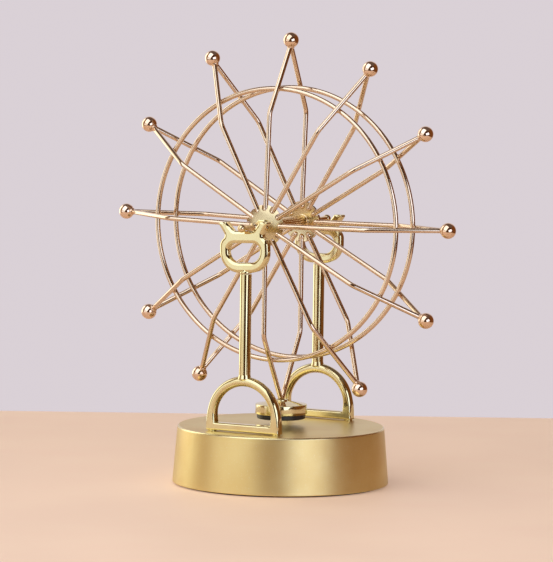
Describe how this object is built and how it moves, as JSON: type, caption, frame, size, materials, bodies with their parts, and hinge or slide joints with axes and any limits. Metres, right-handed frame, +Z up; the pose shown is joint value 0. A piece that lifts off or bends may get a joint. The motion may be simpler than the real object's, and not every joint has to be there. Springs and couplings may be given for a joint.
{
  "type": "magnetic ferris wheel desk ornament",
  "caption": "Wire ferris wheel with ball tips and a magnet, turning by its axle in two horned cradles on a round base.",
  "frame": {"origin": "middle of the base's underside, on the table", "axes": "+Z up; the wheel's axle lies along Y; -Y is the front"},
  "size_m": [0.194, 0.11, 0.2296],
  "materials": {
    "rose_gold_wire": "polished, rose tinted plating",
    "polished_gold": "mirror plating",
    "pale_gold": "pale satin plating",
    "satin_gold": "satin champagne gold",
    "magnet_black": "black coated magnet",
    "black_plastic": "moulded",
    "foot_rubber": "matt",
    "plain_steel": "plain",
    "copper_wire": "enamelled copper wire",
    "circuit_green": "solder mask",
    "battery_jacket": "plain dark jacket"
  },
  "bodies": {
    "base": {"front_support": "polished_gold", "rear_support": "polished_gold", "front_cradle": "polished_gold", "rear_cradle": "polished_gold", "base_shell": "satin_gold", "bottom_cover": "black_plastic", "battery_door": "black_plastic", "foot_ring": "foot_rubber", "battery_box": "black_plastic", "nine_volt_battery": "battery_jacket", "terminal_plate": "black_plastic", "coil_bobbin": "black_plastic", "coil_winding": "copper_wire", "coil_core": "plain_steel", "circuit_board": "circuit_green", "drive_transistor": "black_plastic", "board_capacitor": "battery_jacket", "power_switch_body": "black_plastic", "cover_screw_1": "plain_steel", "cover_screw_2": "plain_steel", "cover_screw_3": "plain_steel", "support_screw_1": "plain_steel", "support_screw_2": "plain_steel", "support_screw_3": "plain_steel", "support_screw_4": "plain_steel"},
    "wheel": {"arm_wire_01": "rose_gold_wire", "tip_ball_01": "polished_gold", "arm_wire_02": "rose_gold_wire", "tip_ball_02": "polished_gold", "arm_wire_03": "rose_gold_wire", "tip_ball_03": "polished_gold", "arm_wire_04": "rose_gold_wire", "tip_ball_04": "polished_gold", "arm_wire_05": "rose_gold_wire", "tip_ball_05": "polished_gold", "arm_wire_06": "rose_gold_wire", "tip_ball_06": "polished_gold", "arm_wire_07": "rose_gold_wire", "arm_wire_08": "rose_gold_wire", "tip_ball_08": "polished_gold", "arm_wire_09": "rose_gold_wire", "tip_ball_09": "polished_gold", "arm_wire_10": "rose_gold_wire", "tip_ball_10": "polished_gold", "arm_wire_11": "rose_gold_wire", "tip_ball_11": "polished_gold", "arm_wire_12": "rose_gold_wire", "tip_ball_12": "polished_gold", "front_ring": "rose_gold_wire", "rear_ring": "rose_gold_wire", "front_hub_plate": "pale_gold", "rear_hub_plate": "pale_gold", "hub_sleeve": "polished_gold", "front_hub_nut": "polished_gold", "rear_hub_nut": "polished_gold", "axle": "polished_gold", "magnet_holder": "polished_gold", "drive_magnet": "magnet_black"},
    "switch_slider": {"power_switch_slider": "black_plastic"}
  },
  "joints": [
    {"name": "wheel_spin", "type": "hinge", "parent": "base", "child": "wheel", "pos_m": [0, 0, 0.13262], "axis": [0, 1, 0], "continuous": true},
    {"name": "switch_slide", "type": "slide", "parent": "base", "child": "switch_slider", "axis": [0, 1, 0], "range_m": [0, 0.004]}
  ]
}
